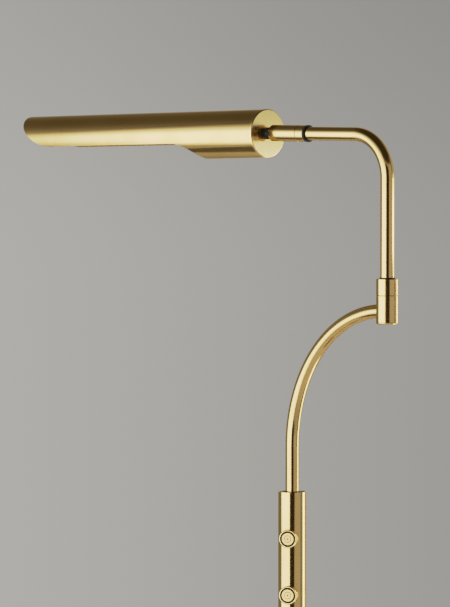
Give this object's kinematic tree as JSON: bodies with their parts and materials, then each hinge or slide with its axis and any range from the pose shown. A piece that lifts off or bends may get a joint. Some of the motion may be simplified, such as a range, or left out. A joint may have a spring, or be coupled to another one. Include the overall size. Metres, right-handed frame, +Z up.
{
  "type": "adjustable arm floor lamp",
  "caption": "Brass floor lamp: weighted round base, slim post with push buttons, curved swinging arm, cranked upper arm and a tilting, rolling trough shade with an LED bar.",
  "frame": {"origin": "on the floor, under the axis of the post, at the centre of the base's underside", "axes": "+Z up along the post; the push buttons face -Y; the lead leaves the base towards +Y"},
  "size_m": [0.4662, 0.3099, 1.4381],
  "materials": {
    "antique_brass": "brushed antique brass, clear lacquered",
    "satin_brass": "fine satin brass",
    "spun_brass": "spun and brushed antique brass",
    "black_nylon": "moulded black nylon",
    "white_nylon": "natural nylon",
    "rubber": "soft black rubber",
    "steel": "zinc-plated turned steel",
    "spring_steel": "drawn spring wire",
    "cast_iron": "painted casting",
    "aluminium": "extruded, natural anodised",
    "circuit_board": "green solder mask",
    "led_board": "white solder mask",
    "led_phosphor": "LED packages with phosphor",
    "opal": "opal diffusing acrylic",
    "wire_sleeve": "twin lead with a light sleeve",
    "lead_black": "black sheathed lead"
  },
  "bodies": {
    "stand": {"base_pad": "rubber", "base_weight": "cast_iron", "base_cover": "spun_brass", "base_washer": "steel", "base_nut": "steel", "base_nipple": "steel", "cord_grommet": "rubber", "post_foot": "spun_brass", "joint_plugs": "steel", "joint_studs": "steel", "post_lower": "antique_brass", "post_middle": "antique_brass", "post_upper": "antique_brass", "post_wire": "lead_black", "post_bush": "black_nylon", "arm_thrust_washer": "white_nylon", "button_bezels": "satin_brass", "bezel_clips": "spring_steel", "button_rings": "black_nylon", "button_springs": "spring_steel", "switch_carrier": "black_nylon", "switch_board": "circuit_board", "tact_switches": "black_nylon"},
    "upper_button": {"upper_button": "satin_brass"},
    "lower_button": {"lower_button": "satin_brass"},
    "lower_arm": {"arm_pivot": "steel", "arm_pivot_nut": "steel", "lower_arm_tube": "antique_brass", "elbow_socket": "antique_brass", "elbow_plug": "antique_brass", "elbow_seam_washer": "black_nylon", "lower_arm_wire": "wire_sleeve"},
    "upper_arm": {"elbow_collar": "antique_brass", "elbow_seal": "black_nylon", "head_ring_seal": "black_nylon", "elbow_spindle": "steel", "elbow_washer": "spring_steel", "elbow_nut": "steel", "upper_arm_tube": "antique_brass", "head_ring": "antique_brass", "roll_spindle": "steel", "roll_washer": "spring_steel", "roll_nut": "steel", "upper_arm_wire": "wire_sleeve"},
    "head_sleeve": {"head_sleeve": "antique_brass", "ball_cup": "white_nylon", "cup_spring": "spring_steel", "cup_clip": "spring_steel"},
    "head": {"ball_stud": "black_nylon", "stud_nut": "steel", "end_cap": "satin_brass", "shade": "antique_brass", "head_bulkhead": "antique_brass", "led_channel": "aluminium", "led_board": "led_board", "led_chips": "led_phosphor", "diffuser": "opal", "diffuser_ends": "white_nylon", "driver_board": "circuit_board", "head_wire": "wire_sleeve"}
  },
  "joints": [
    {"name": "upper_button_press", "type": "slide", "parent": "stand", "child": "upper_button", "axis": [0, 1, 0], "range_m": [0, 0.0012], "stiffness_N_per_m": 600, "springref_m": -0.0015, "deforming": ["button_springs"]},
    {"name": "lower_button_press", "type": "slide", "parent": "stand", "child": "lower_button", "axis": [0, 1, 0], "range_m": [0, 0.0012], "stiffness_N_per_m": 600, "springref_m": -0.0015},
    {"name": "lower_arm_swing", "type": "hinge", "parent": "stand", "child": "lower_arm", "pos_m": [0, 0, 1.055], "axis": [0, 0, 1], "range_deg": [-170, 170]},
    {"name": "elbow_swing", "type": "hinge", "parent": "lower_arm", "child": "upper_arm", "pos_m": [0.11665, -0.08168, 1.255], "axis": [0, 0, 1], "range_deg": [-170, 170]},
    {"name": "head_roll", "type": "hinge", "parent": "upper_arm", "child": "head_sleeve", "pos_m": [0.01422, -0.0249, 1.41299], "axis": [-0.8744, 0.4847, 0.0227], "range_deg": [-170, 170]},
    {"name": "head_tilt", "type": "hinge", "parent": "head_sleeve", "child": "head", "pos_m": [-0.01411, -0.0092, 1.41373], "axis": [-0.4848, -0.8746, 0], "range_deg": [-15, 15]}
  ]
}
